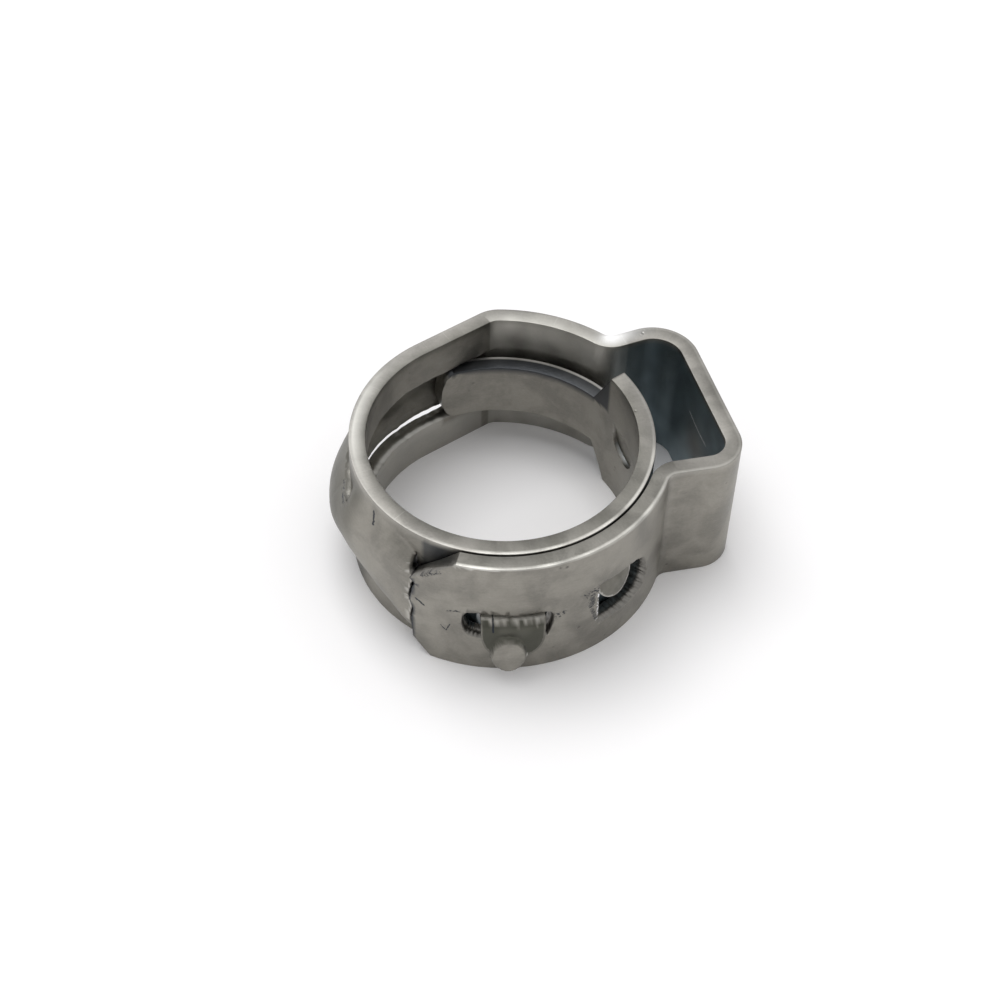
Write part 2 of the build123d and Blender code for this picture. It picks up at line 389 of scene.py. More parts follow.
def pressedBlank():
    # the strip cut out, with its windows, tabs, slits and crack punched through it
    blankMesh = bmesh.new()
    prism(blankMesh, blankOutline(), -strip["thickness"] / 2, strip["thickness"] / 2)
    fixNormals(blankMesh)
    roundRim(blankMesh, -1, strip["insideRound"])
    roundRim(blankMesh, 1, strip["outsideRound"])
    fixNormals(blankMesh)
    blank = newObject("blank", meshFrom(blankMesh, "blank"))

    punchMesh = bmesh.new()
    lines = [tabOutline(name) for name in hooks]
    lines += [list(zip(slitX, slitLow)), list(zip(slitX, slitHigh)), list(zip(crackX, crackY))]
    for outline in windowOutlines() + [bladeOutline(line) for line in lines]:
        prism(punchMesh, outline)
    fixNormals(punchMesh)
    punch = newObject("punch", meshFrom(punchMesh, "punch"))

    cut = blank.modifiers.new("cut", "BOOLEAN")
    cut.operation, cut.solver, cut.object = "DIFFERENCE", "EXACT", punch
    softened = blank.modifiers.new("softened", "BEVEL")
    softened.width, softened.segments, softened.profile = strip["edgeRound"], 3, 0.5
    softened.limit_method, softened.angle_limit = "ANGLE", radians(50)
    bpy.context.view_layer.update()
    graph = bpy.context.evaluated_depsgraph_get()
    cutMesh = bpy.data.meshes.new_from_object(blank.evaluated_get(graph))
    bpy.data.objects.remove(blank)
    bpy.data.objects.remove(punch)
    return cutMesh


cutBlank = pressedBlank()
print("blank cut:", len(cutBlank.polygons), "faces")

# Spacing of the finer mesh that the strip gets before rolling
grid = {
    "reach": 0.2,
    "nearBend": 0.11,
    "bendSpan": 2.0,
    "bends": (-29.0, -22.0, 22.0, 33.0, strip["kinkAngle"]),
    "height": 0.35,
    "mouth": 0.12,
    "mouthBands": ((0.6, 2.4), (4.9, 6.7)),
    "pastCrack": 0.3,
    "topMargin": 0.3,
    "besideTab": 0.12,
    "belowTab": 0.15,
    "aboveTab": 0.2,
    "rimLines": (0.19, 0.28),
    "rimBand": (6.9, 7.1),
    "tongueBand": (4.88, 5.0),
    "merge": 0.0006,
    "sliver": 0.0004,
}


def scoreLines():
    marks = [0.0]
    while marks[-1] < stripLength:
        near = min(abs(marks[-1] - reachAt(b)) for b in grid["bends"])
        marks.append(marks[-1] + (grid["nearBend"] if near < grid["bendSpan"] else grid["reach"]))
    return marks[1:-1]


def score(bm, axis, places, inside=None):
    # cuts the faces along planes, everywhere or between two reaches and two heights
    normal = Vector((axis == "x", axis == "y", axis == "t"))
    for at in places:
        if inside is None:
            geom = bm.verts[:] + bm.edges[:] + bm.faces[:]
        else:
            (left, right), (low, high) = inside
            centres = [(f, f.calc_center_median()) for f in bm.faces]
            faces = [f for f, c in centres if left < c.x < right and low < c.y < high]
            # each edge and corner once, in the order met
            edges = list(dict.fromkeys(e for f in faces for e in f.edges))
            geom = list(dict.fromkeys(v for e in edges for v in e.verts)) + edges + faces
        bmesh.ops.bisect_plane(bm, geom=geom, plane_co=normal * float(at), plane_no=normal, dist=1e-5)


def splitLargeFaces(bm):
    bmesh.ops.triangulate(bm, faces=[f for f in bm.faces if len(f.verts) > 4])


def scoredStrip(blank):
    bm = bmesh.new()
    bm.from_mesh(blank)
    splitLargeFaces(bm)
    score(bm, "y", np.arange(grid["height"], strip["width"] - grid["topMargin"], grid["height"]))
    score(bm, "x", scoreLines())
    for hook in hooks.values():
        centre, side = reachAt(hook["angle"]), hook["width"] / 2 + grid["besideTab"]
        low, high = hook["end"] - grid["belowTab"], hook["root"] + grid["aboveTab"]
        area = ((centre - side, centre + side), (low, high))
        score(bm, "y", np.arange(low, high, hook["pitch"]), area)
        score(bm, "x", np.arange(centre - side, centre + side, hook["pitch"]), area)
    mouthEnd = reachAt(tunnel["crack"]) + grid["pastCrack"]
    mouth = ((reachAt(tunnel["rampStart"]), mouthEnd), (0, strip["width"]))
    for low, high in grid["mouthBands"]:
        score(bm, "y", np.arange(low, high, grid["mouth"]), mouth)
    for t in grid["rimLines"]:
        score(bm, "t", (t,), ((0, stripLength), grid["rimBand"]))
        score(bm, "t", (t,), ((reachAt(strip["shoulder"]), stripLength), grid["tongueBand"]))
    bmesh.ops.remove_doubles(bm, verts=bm.verts[:], dist=grid["merge"])
    bmesh.ops.dissolve_degenerate(bm, edges=bm.edges[:], dist=grid["sliver"])
    return bm


def markFinishes(bm):
    # cut edges get their own finish, and the flat pattern stays as the piece's own map
    flatEnough = 0.97
    uvLayer = bm.loops.layers.uv.new("flatStrip")
    for face in bm.faces:
        face.normal_update()
        face.material_index = 0 if abs(face.normal.z) > flatEnough else 1
        face.smooth = True
        for loop in face.loops:
            loop[uvLayer].uv = (loop.vert.co.x / patternUnit, loop.vert.co.y / patternUnit)


stripMesh = scoredStrip(cutBlank)
markFinishes(stripMesh)
splitLargeFaces(stripMesh)
print("scored:", len(stripMesh.faces), "faces")


# Rolling
def bezier(p0, p1, p2, p3, count=40):
    t = np.linspace(0, 1, count)[:, None]
    p0, p1, p2, p3 = (np.array(p, float) for p in (p0, p1, p2, p3))
    return (1 - t) ** 3 * p0 + 3 * (1 - t) ** 2 * t * p1 + 3 * (1 - t) * t ** 2 * p2 + t ** 3 * p3


# how each tab leaves the wall, outwards from the wall's middle and down from the root
louver = np.concatenate([
    bezier((0, 0), (0.0, -0.22), (0.48, -0.25), (0.66, -0.62)),
    bezier((0.66, -0.62), (0.74, -0.82), (0.80, -1.1), (0.80, -1.67))[1:],
])
drawn = {
    "load": louver,
    "spare": louver * (0.25, 1.0),
    "guide": np.concatenate([
        bezier((0, 0), (0.0, -0.22), (0.20, -0.25), (0.60, -0.24)),
        bezier((0.60, -0.24), (0.90, -0.24), (1.0, -0.25), (1.15, -0.26))[1:],
        bezier((1.15, -0.26), (1.40, -0.27), (1.44, -0.34), (1.44, -0.60))[1:],
        bezier((1.44, -0.60), (1.44, -1.4), (1.44, -2.2), (1.42, -3.12))[1:],
    ]),
}


def onTab(name, x, y, margin=0.0):
    # which points lie inside a tab's cutting line, counted by crossings
    line = tabOutline(name, margin)
    inside = np.zeros(len(x), bool)
    for (x1, y1), (x2, y2) in zip(line[-1:] + line, line):
        crosses = (y1 > y) != (y2 > y)
        with np.errstate(divide="ignore", invalid="ignore"):
            inside ^= crosses & (x < (x2 - x1) * (y - y1) / (y2 - y1) + x1)
    return inside & (x > reachAt(strip["tabsPast"]))


def tabShare(name, y):
    # how far down a tab a height lies, 0 at its root and 1 at its end
    hook = hooks[name]
    return np.clip((hook["root"] - y) / (hook["root"] - hook["end"]), 0, 1.02)


def nibDistance(x, y):
    across = x - reachAt(hooks["guide"]["angle"])
    return np.hypot((across + nib["shift"]) / nib["half"], (y - nib["height"]) / nib["reach"])


def raisedTunnel(x, y, t, angle, radius):
    # the middle of the band stays out while the rails go in, arched across, then swells into
    # a flat topped mouth: how far each point takes part, and where it then lies
    m = tunnel
    settle = smoothStep(strip["kinkAngle"], m["settled"], angle)
    ramp = smoothStep(m["rampStart"], m["rampEnd"], angle)
    crest = m["crestMid"] + (strip["mouthMid"] - m["crestMid"]) * ramp
    crest = strip["raisedMid"] + (crest - strip["raisedMid"]) * settle
    footLow, footHigh, power = (np.interp(angle, *zip(*m[k])) for k in ("footLow", "footHigh", "power"))
    middle, half = (footLow + footHigh) / 2, (footHigh - footLow) / 2
    u = np.clip((y - middle) / half, -1, 1)
    bow = 1 - settle * np.abs(u) ** power
    cutFree = (y > np.interp(x, slitX, slitLow)) & (y < np.interp(x, slitX, slitHigh))
    gate = np.where(cutFree, 1, smoothStep(m["slitEnd"] - 9, m["slitEnd"] + 1, angle))
    inTunnel = (angle > strip["kinkAngle"] - 2) & (x < np.interp(y, crackY, crackX))
    lift = np.where(inTunnel, bow * gate, 0)
    height = crest - radius
    tilt = settle * height * power * np.abs(u) ** (power - 1) * np.sign(u) / half
    tilt = np.clip(tilt, -m["steepest"], m["steepest"]) * (lift > 0) * gate
    lean = np.sqrt(1 + tilt ** 2)
    turns = np.radians(angle)
    r = radius + lift * height + t / lean
    return lift, np.stack([r * np.cos(turns), r * np.sin(turns), y + t * tilt / lean], 1)


def drawnTab(name, x, y, t):
    hook, curve = hooks[name], drawn[name]
    share, walked = tabShare(name, y), walk(curve)
    outward, upward = np.gradient(curve[:, 0]), np.gradient(curve[:, 1])
    size = np.hypot(outward, upward)
    along = (curve[:, 0], curve[:, 1], outward / size, upward / size)
    dr, dz, tr, tz = (np.interp(share * walked[-1], walked, v) for v in along)
    across = x - reachAt(hook["angle"])
    dr = dr * (1 - hook["crown"] * (2 * across / hook["width"]) ** 2 * share)
    thin = 1 - hook["thinned"] * smoothStep(0.05, 0.3, share)
    r = strip["innerMid"] + dr - tz * t * thin
    if name == "guide":
        r = r + nib["rise"] * (1 - smoothStep(nib["flat"], 1.0, nibDistance(x, y)))
    turn = radians(hook["angle"]) + across / r
    return np.stack([r * np.cos(turn), r * np.sin(turn), hook["root"] + dz + tr * t * thin], 1)


def roll(x, y, t, angle):
    px, py, hx, hy = (np.interp(x, pathReach, v) for v in (pathX, pathY, headingX, headingY))
    # beyond the ends of the path the strip goes straight on
    over = np.where(x < 0, x, np.where(x > stripLength, x - stripLength, 0))
    out = np.stack([px + hx * over + hy * t, py + hy * over - hx * t, y], 1)
    lift, raised = raisedTunnel(x, y, t, angle, np.hypot(px, py))
    out = out * (1 - lift[:, None]) + raised * lift[:, None]
    for name in hooks:
        out = np.where(onTab(name, x, y)[:, None], drawnTab(name, x, y, t), out)
    return out


# Painted shade and painted highlights on the surface. They stand in for the shade in the hollows
# and the light on the rims. Places are ring angles and heights. Depth runs through the strip,
# from -0.375 at the bore to 0.375 outside. Amounts go from 0 to 1, and a pair is an amount and
# how far the noise varies it.
paintedShading = {
    "speckle": (0.22, 4.0),  # size and seed of two noises
    "cloud": (0.9, 9.0),
    "boreSide": -0.2,  # depths
    "outerSide": 0.2,
    "rimDepth": 0.25,
    "wallHalf": 0.34,
    "skin": 0.36,
    "stepDown": 90.0,  # about halfway down the step from the raised wall to the bore
    "covered": (222.5, 372.0),  # the inner layer, where the outer one lies over it
    "coveredTop": 6.85,
    # painted shade on the covered ring, deeper above the crack
    "coveredShade": (0.58, 0.3),
    "besideMouth": 243,  # up to here the cover's top gets deeper painted shade than the rest of it
    "aboveCrack": 5.0,
    "crackShade": (0.70, 0.2),
    "earEnds": (24, 36),
    "earTop": (6.6, 6.9),
    # painted shade inside the ear, deeper at its throat
    "earShade": (0.12, 0.2),
    "throat": (27, 7),  # middle and spread
    "throatShade": 0.30,
    # a painted cool tint of shade inside the ear, cleared in one patch, and on the covered ring
    "earTint": 0.95,
    "earPatch": ((-1, 7), (3.4, 1.3)),  # middle and spread, round the ring and up
    "patchClear": 0.8,
    "coveredTint": 0.9,
    # painted shade on the tongue's top edge, and a painted highlight along its outer line
    "tongueTop": 4.82,
    "tongueShade": 0.82,
    "tongueLine": 4.87,
    "tongueHighlight": 0.5,
    # painted shade in the crack's gap and at the free end, and a painted highlight beside the crack
    "crackHalf": 0.04,
    "endDepth": 0.055,
    "crackTop": 5.6,
    "tornShade": 0.9,
    "crackLine": (-0.10, -0.045, 0.3),
    "crackLineTop": 5.8,
    "crackHighlight": 0.6,
    "windowEnd": -40.0,
    "windowHeights": (1.3, 4.9),
    "windowSplit": -54,
    "windowShade": (0.62, 0.3),  # painted shade on the windows' walls, and on the load window's rounded end
    # a painted highlight along the windows' outer edges
    "windowLine": 0.373,
    "windowHighlight": 0.6,
    # the guide hook: painted shade on its face, painted highlights on its land and along its nib
    "nibRim": (0.84, 0.96),
    "guideDark": (0.325, 0.355),
    "guideMargin": 0.10,
    "guideMarginDark": 0.45,
    "guideClouds": 0.4,
    "guideDepth": -0.3,
    "guideLand": (0.06, 0.12, 0.305, 0.335),
    "guideHighlight": (0.72, 0.4),
    "guideEdge": 0.05,  # how ragged the land's end is
    "nibLine": (0.86, 0.94, 1.08),
    "nibLineTop": 1.35,
    "nibHighlight": 0.6,
    # the load tab: painted shade on its face and a painted highlight on its tip
    "loadShade": (0.50, 0.3),
    "loadMargin": 0.07,
    "loadTipTop": 4.1,
    "loadHighlight": 0.75,
    # painted light in the slit, on the back wall inside and low on the rail
    "slit": (100, 1.6, 2.2, -0.28),
    "slitHighlight": 0.5,
    "backWall": (30.0, 2),  # from this angle to this far past the kink
    "backHighlight": (0.42, 0.3),
    "lowRail": (82.0, 205, 1.7, 0.42),
    "flank": (128, 150, 184, 196),  # beside the mouth, painted darker than the wall there as shade
    "flankTop": 6.6,
    "flankShade": (0.60, 0.3),
    "upperLand": 6.95,  # the upper rim: a land between an inner and an outer line. The land and the inner line get painted shade, the outer line a painted highlight
    "innerLine": (6.78, -0.22),
    "outerLine": 6.93,
    "lineShade": (0.42, 0.2),
    "landShade": (0.38, 0.3),
    "earRimShade": 0.2,
    "outerHighlight": (0.40, 0.7),
    "outerLeast": 0.15,
    "ear": (-30.0, 30.0),
    "front": ((-46, -26), (222, 246), (322, 350)),  # the rims fade out, in and out again
    "litLeft": (156, 28, 0.68, 0.08),  # painted highlight on the rim at the left: middle, spread, highlight, bright highlight
    # painted highlights on the rim at the ear's back foot and further back: middle, spread, amount
    "throatTop": (32.8, 4, 0.95),
    "litBack": (60, 20, 0.24),
    "backFrom": 20.0,
}


def speckle(x, y, size, seed):
    return np.array([noise.noise(Vector((a / size, b / size, seed))) for a, b in zip(x, y)])


def varied(amount, pattern):
    return amount[0] + amount[1] * pattern


def survey(x, y, t, angle):
    # the regions of the strip that get painted shade and painted highlights in different ways
    w = paintedShading
    p = SimpleNamespace(x=x, y=y, t=t, angle=angle)
    p.ragged, p.cloudy = speckle(x, y, *w["speckle"]), speckle(x, y, *w["cloud"])
    p.hook = {name: onTab(name, x, y) for name in hooks}
    p.share, p.away = tabShare("guide", y), nibDistance(x, y)
    start, end = w["covered"]
    p.covered = (x > reachAt(start)) & (x < reachAt(end)) & (t > w["outerSide"]) & (y < w["coveredTop"])
    p.covered &= ~(p.hook["load"] | p.hook["spare"] | p.hook["guide"])
    p.aboveCrack = (angle < w["besideMouth"]) & (y > w["aboveCrack"])
    p.inEar = (1 - smoothStep(*w["earEnds"], np.abs(angle))) * (x < reachAt(strip["kinkAngle"]))
    p.inEar = p.inEar * (t < w["boreSide"]) * (1 - smoothStep(*w["earTop"], y))
    p.onTongue = x > reachAt(strip["shoulder"])
    crackAt = np.interp(y, crackY, crackX)
    p.fromCrack = x - crackAt
    p.fromEnd = x - (tunnel["gap"] + crackAt - reachAt(tunnel["crack"]))
    low, high = w["windowHeights"]
    p.atWindow = (x < reachAt(w["windowEnd"])) & (x > strip["squareEnd"]) & (y > low) & (y < high)
    lineHeight, lineDepth = w["innerLine"]
    p.land = (y > w["upperLand"]) & (np.abs(t) < w["rimDepth"])
    p.innerLine = (y > lineHeight) & (t < lineDepth) & (x > strip["squareEnd"])
    p.outerLine = (y > w["outerLine"]) & (t > w["rimDepth"])
    p.onEar = (x > reachAt(w["ear"][0])) & (x < reachAt(w["ear"][1]))
    toEar, fromLeft, underEar = (smoothStep(*ends, angle) for ends in w["front"])
    p.front = np.where(x < reachAt(0.0), 1 - toEar, fromLeft * (1 - underEar))
    p.left = hump(angle, *w["litLeft"][:2]) * (x > reachAt(w["stepDown"]))
    return p


# Painted shade where shade falls: on the covered ring, in the crack, inside the ear, on the tongue's top
# edge and on the window walls.
def deepShadeOf(p):
    w = paintedShading
    deepShade = np.where(p.covered, varied(w["coveredShade"], p.cloudy), 0.0)
    deepShade = np.where(p.covered & p.aboveCrack, varied(w["crackShade"], p.cloudy), deepShade)
    inEar = varied(w["earShade"], p.cloudy) + w["throatShade"] * hump(p.angle, *w["throat"])
    deepShade = np.where(p.inEar > 0, inEar * p.inEar, deepShade)
    tongueEdge = p.onTongue & (p.y > w["tongueTop"]) & (p.t < w["rimDepth"])
    deepShade = np.where(tongueEdge, w["tongueShade"], deepShade)
    torn = (np.abs(p.fromCrack) < w["crackHalf"]) & (p.t < w["skin"]) | (p.fromEnd < w["endDepth"])
    deepShade = np.where(torn & (p.y < w["crackTop"]), w["tornShade"], deepShade)
    walls = np.where(p.angle > w["windowSplit"], w["windowShade"][1], w["windowShade"][0])
    return np.where(p.atWindow & (np.abs(p.t) < w["wallHalf"]), walls, deepShade)


# A painted cool tint of shade: inside the ear, cleared in one patch, and on the covered ring.
def shadeTintOf(p):
    w = paintedShading
    (middle, spread), (height, rise) = w["earPatch"]
    patch = np.exp(-(((p.angle - middle) / spread) ** 2 + ((p.y - height) / rise) ** 2))
    shadeTint = w["earTint"] * p.inEar * (1 - w["patchClear"] * patch)
    tintedCover = p.covered & ((p.angle > w["besideMouth"]) | (p.y < w["aboveCrack"]))
    return np.where(tintedCover, w["coveredTint"], shadeTint)


# Painted shade: darker faces on the guide hook and load tab, beside the mouth, on the rim's inner line
# and on the land at the front.
def dullShadeOf(p):
    w = paintedShading
    onNib = 1 - smoothStep(*w["nibRim"], p.away)
    core = onTab("guide", p.x, p.y, w["guideMargin"])
    dark = smoothStep(*w["guideDark"], p.share + w["guideEdge"] * p.ragged) * (1 - onNib)
    dark = dark * np.where(core, 1.0, w["guideMarginDark"])
    onGuide = p.hook["guide"] & (p.t > w["guideDepth"])
    dullShade = np.where(onGuide, dark * (1.0 + w["guideClouds"] * p.cloudy), 0)
    dullShade = np.where(p.hook["load"] & (p.t > 0), varied(w["loadShade"], p.ragged), dullShade)
    start, full, fade, end = w["flank"]
    flank = smoothStep(start, full, p.angle) * (1 - smoothStep(fade, end, p.angle))
    flank = flank * (p.t > w["outerSide"]) * (p.y < w["flankTop"])
    dullShade = np.maximum(dullShade, varied(w["flankShade"], p.cloudy) * flank)
    line = np.where(p.onEar, 0.0, varied(w["lineShade"], p.cloudy))
    dullShade = np.where(p.innerLine, line, dullShade)
    onLand = varied(w["landShade"], p.cloudy) * p.front + w["earRimShade"] * p.onEar
    return np.where(p.land, onLand, dullShade)


# Painted highlights: on the guide's land and nib, the load tab's tip, beside the crack, in the slit, on
# the back and low walls inside, the window edges and the rims.
def highlightOf(p):
    w, s = paintedShading, strip
    x, y, t, angle = p.x, p.y, p.t, p.angle
    start, full, fade, end = w["guideLand"]
    landEnd = smoothStep(fade, end, p.share + w["guideEdge"] * p.ragged)
    land = smoothStep(start, full, p.share) * (1 - landEnd)
    near, onLine, far = w["nibLine"]
    nibLine = smoothStep(near, onLine, p.away) * (y < w["nibLineTop"]) * (p.away < far)
    onGuide = np.maximum(land * varied(w["guideHighlight"], p.ragged), nibLine * w["nibHighlight"])
    highlight = np.where(p.hook["guide"] & (t > 0), onGuide, 0)
    loadTip = p.hook["load"] & ~onTab("load", x, y, w["loadMargin"])
    highlight = np.where(loadTip & (t > w["rimDepth"]) & (y < w["loadTipTop"]), w["loadHighlight"], highlight)
    first, last, depth = w["crackLine"]
    beside = (p.fromCrack < last) & (p.fromCrack > first) & (t > depth) & (y < w["crackLineTop"])
    highlight = np.where(beside, w["crackHighlight"], highlight)
    start, low, high, depth = w["slit"]
    inSlit = (angle > start) & (angle < tunnel["slitEnd"]) & (y > low) & (y < high) & (t < depth)
    highlight = np.where(inSlit, w["slitHighlight"], highlight)
    start, past = w["backWall"]
    backWall = (x < reachAt(s["kinkAngle"] + past)) & (x > reachAt(start)) & (t < w["boreSide"])
    highlight = np.where(backWall, varied(w["backHighlight"], p.cloudy), highlight)
    start, end, high, amount = w["lowRail"]
    lowRail = (x > reachAt(start)) & (angle < end) & (y < high) & (t < w["boreSide"])
    highlight = np.where(lowRail, np.maximum(highlight, amount), highlight)
    windowLine = p.atWindow & (t > w["wallHalf"]) & (t < w["windowLine"])
    highlight = np.where(windowLine, w["windowHighlight"], highlight)
    onOuter = varied(w["outerHighlight"], p.cloudy) * p.front + w["outerLeast"]
    highlight = np.where(p.outerLine, onOuter, highlight)
    middle, spread, amount = w["litBack"]
    back = amount * hump(angle, middle, spread)
    back = back * (x < reachAt(w["stepDown"])) * (x > reachAt(w["backFrom"]))
    return np.where(p.land, np.maximum(w["litLeft"][2] * p.left, back), highlight)


# Brighter painted highlights: on the rim at the left and at the ear's back foot, and along the tongue's
# top line.
def brightHighlightOf(p):
    middle, spread, amount = paintedShading["throatTop"]
    throatTop = hump(p.angle, middle, spread) * (p.x < reachAt(strip["kinkAngle"]))
    onRim = np.maximum(paintedShading["litLeft"][3] * p.left, amount * throatTop)
    brightHighlight = np.where(p.land | p.outerLine, onRim, 0.0)
    tongueLine = p.onTongue & (p.y > paintedShading["tongueLine"]) & (p.t > paintedShading["rimDepth"])
    return np.where(tongueLine, paintedShading["tongueHighlight"], brightHighlight)


def surfaceState(x, y, t, angle):
    p = survey(x, y, t, angle)
    state = {"deepShade": deepShadeOf(p), "dullShade": dullShadeOf(p), "highlight": highlightOf(p), "brightHighlight": brightHighlightOf(p),
             "shadeTint": shadeTintOf(p), "outside": (t > paintedShading["skin"]) * 1.0}
    return {name: np.clip(values, 0, 1) for name, values in state.items()}


def rolledBand(bm):
    # paints the flat strip, rolls it and closes it up as the finished piece
    x, y, t = np.array([v.co for v in bm.verts], float).T
    angle = np.interp(x, pathReach, pathAngle)
    for name, values in surfaceState(x, y, t, angle).items():
        layer = bm.verts.layers.float.new(name)
        for vert, value in zip(bm.verts, values):
            vert[layer] = float(value)
    for vert, place in zip(bm.verts, roll(x, y, t, angle)):
        vert.co = Vector(place) * mm
    fixNormals(bm)
    openEdges = sum(not e.is_manifold for e in bm.edges)
    volume = bm.calc_volume(signed=True) / mm ** 3
    print("open edges:", openEdges, "volume %.1f mm3" % volume)
    band = newObject("clampStrip", meshFrom(bm, "clampStrip"))
    weighted = band.modifiers.new("weighted", "WEIGHTED_NORMAL")
    weighted.mode, weighted.weight, weighted.keep_sharp = "FACE_AREA", 60, True
    return band


band = rolledBand(stripMesh)
print("band rolled:", len(band.data.polygons), "faces")


# Materials
def shader(name):
    material = bpy.data.materials.new(name)
    material.use_nodes = True
    return material, material.node_tree.nodes["Principled BSDF"]


def nodeGroup(name, inputs, outputs):
    group = bpy.data.node_groups.new(name, "ShaderNodeTree")
    for label, kind, value in inputs:
        socket = group.interface.new_socket(label, in_out="INPUT", socket_type=kind)
        if value is not None:
            socket.default_value = value
    for label, kind in outputs:
        group.interface.new_socket(label, in_out="OUTPUT", socket_type=kind)
    given, result = group.nodes.new("NodeGroupInput"), group.nodes.new("NodeGroupOutput")
    return group, given.outputs, result.inputs


def put(tree, kind, values=None, **settings):
    node = tree.nodes.new(kind)
    for name, value in settings.items():
        setattr(node, name, value)
    for socket, value in (values or {}).items():
        if isinstance(value, bpy.types.NodeSocket):
            tree.links.new(value, node.inputs[socket])
        else:
            node.inputs[socket].default_value = value
    return node


def math(tree, operation, a, b=0.0, c=0.0):
    return put(tree, "ShaderNodeMath", {0: a, 1: b, 2: c}, operation=operation).outputs[0]


def times(tree, a, b):
    return math(tree, "MULTIPLY", a, b)


def minus(tree, a, b):
    return math(tree, "SUBTRACT", a, b)


def vectorMath(tree, operation, *values):
    return put(tree, "ShaderNodeVectorMath", dict(enumerate(values)), operation=operation).outputs


def ramp(tree, value, low, high):
    node = put(tree, "ShaderNodeMapRange", {"Value": value, "From Min": low, "From Max": high})
    node.interpolation_type = "SMOOTHSTEP"
    return node.outputs["Result"]


def noiseOn(tree, place, scale, detail, roughness=0.5, distortion=0.0):
    values = {"Vector": place, "Scale": scale, "Detail": detail, "Roughness": roughness,
              "Distortion": distortion}
    return put(tree, "ShaderNodeTexNoise", values).outputs["Fac"]


def cellsOn(tree, place, scale):
    values = {"Vector": place, "Scale": scale}
    return put(tree, "ShaderNodeTexVoronoi", values, feature="F1").outputs["Distance"]


def mixed(tree, share, under, over):
    values = {0: share, 6: under, 7: over}
    return put(tree, "ShaderNodeMix", values, data_type="RGBA").outputs[2]


# Mill finish: fine rolling grain along the strip, soft patches over the whole piece.
# The flat pattern is in centimetres, object coordinates in metres.
def buildMillFinish():
    group, given, result = nodeGroup(
        "millFinish",
        (("Flat pattern", "NodeSocketVector", None), ("Place", "NodeSocketVector", None),
         ("Grain", "NodeSocketFloat", 0.5), ("Patches", "NodeSocketFloat", 0.5)),
        (("Tone", "NodeSocketFloat"), ("Roughness", "NodeSocketFloat"), ("Height", "NodeSocketFloat")),
    )
    drawnOut = vectorMath(group, "MULTIPLY", given["Flat pattern"], (14.0, 260.0, 1.0))[0]
    lines = noiseOn(group, drawnOut, scale=1.0, detail=5.0, roughness=0.65)
    fine = noiseOn(group, given["Place"], scale=9000.0, detail=3.0, roughness=0.7)
    cloud = noiseOn(group, given["Place"], scale=620.0, detail=4.0, roughness=0.55, distortion=0.4)
    grain = math(group, "ADD", times(group, lines, 0.55), times(group, fine, 0.45))
    grainTone = times(group, minus(group, grain, 0.5), given["Grain"])
    patches = minus(group, ramp(group, cloud, 0.32, 0.68), 0.5)
    patchTone = times(group, patches, given["Patches"])
    group.links.new(math(group, "ADD", grainTone, patchTone), result["Tone"])
    group.links.new(times(group, minus(group, cloud, 0.5), 0.35), result["Roughness"])
    group.links.new(grain, result["Height"])
    return group


# Handling marks: short straight scratches lying two ways, and small dark pits.
def buildHandlingMarks():
    group, given, result = nodeGroup(
        "handlingMarks",
        (("Flat pattern", "NodeSocketVector", None), ("Place", "NodeSocketVector", None),
         ("Pit size", "NodeSocketFloat", 1500.0)),
        (("Scratches", "NodeSocketFloat"), ("Pits", "NodeSocketFloat")),
    )
    scratches = 0.0
    for turn, stretch in ((0.35, (6.0, 90.0, 1.0)), (-0.9, (9.0, 130.0, 1.0))):
        slanted = {"Vector": given["Flat pattern"], "Rotation": (0, 0, turn)}
        turned = put(group, "ShaderNodeMapping", slanted).outputs[0]
        long = vectorMath(group, "MULTIPLY", turned, stretch)[0]
        mark = minus(group, 1.0, ramp(group, cellsOn(group, long, 1.0), 0.03, 0.11))
        scratches = math(group, "MAXIMUM", scratches, mark)
    pit = cellsOn(group, given["Place"], given["Pit size"])
    spread = noiseOn(group, given["Place"], scale=420.0, detail=2.0)
    spots = minus(group, 1.0, ramp(group, pit, 0.05, 0.16))
    group.links.new(scratches, result["Scratches"])
    group.links.new(times(group, spots, ramp(group, spread, 0.56, 0.66)), result["Pits"])
    return group


# One scored line between two points of the flat pattern, ragged at its edges.
def buildScoredLine():
    group, given, result = nodeGroup(
        "scoredLine",
        (("Flat pattern", "NodeSocketVector", None), ("From", "NodeSocketVector", None),
         ("To", "NodeSocketVector", None), ("Width", "NodeSocketFloat", 0.003),
         ("Spots", "NodeSocketFloat", 0.0)),
        (("Mask", "NodeSocketFloat"),),
    )
    flat, width = given["Flat pattern"], given["Width"]
    reach = vectorMath(group, "SUBTRACT", flat, given["From"])[0]
    whole = vectorMath(group, "SUBTRACT", given["To"], given["From"])[0]
    gone = vectorMath(group, "DOT_PRODUCT", reach, whole)["Value"]
    length = vectorMath(group, "DOT_PRODUCT", whole, whole)["Value"]
    part = put(group, "ShaderNodeClamp", {0: math(group, "DIVIDE", gone, length)}).outputs[0]
    nearest = put(group, "ShaderNodeVectorMath", {0: whole, "Scale": part}, operation="SCALE").outputs[0]
    away = vectorMath(group, "DISTANCE", reach, nearest)["Value"]
    ragged = minus(group, noiseOn(group, flat, scale=90.0, detail=3.0), 0.5)
    away = math(group, "ADD", away, times(group, ragged, times(group, width, 2.6)))
    mask = minus(group, 1.0, ramp(group, math(group, "DIVIDE", away, width), 0.55, 1.0))
    spots = ramp(group, noiseOn(group, flat, scale=75.0, detail=4.0), 0.46, 0.60)
    hidden = times(group, given["Spots"], minus(group, 1.0, spots))
    group.links.new(times(group, mask, minus(group, 1.0, hidden)), result["Mask"])
    return group


millFinish = buildMillFinish()
handlingMarks = buildHandlingMarks()
scoredLine = buildScoredLine()

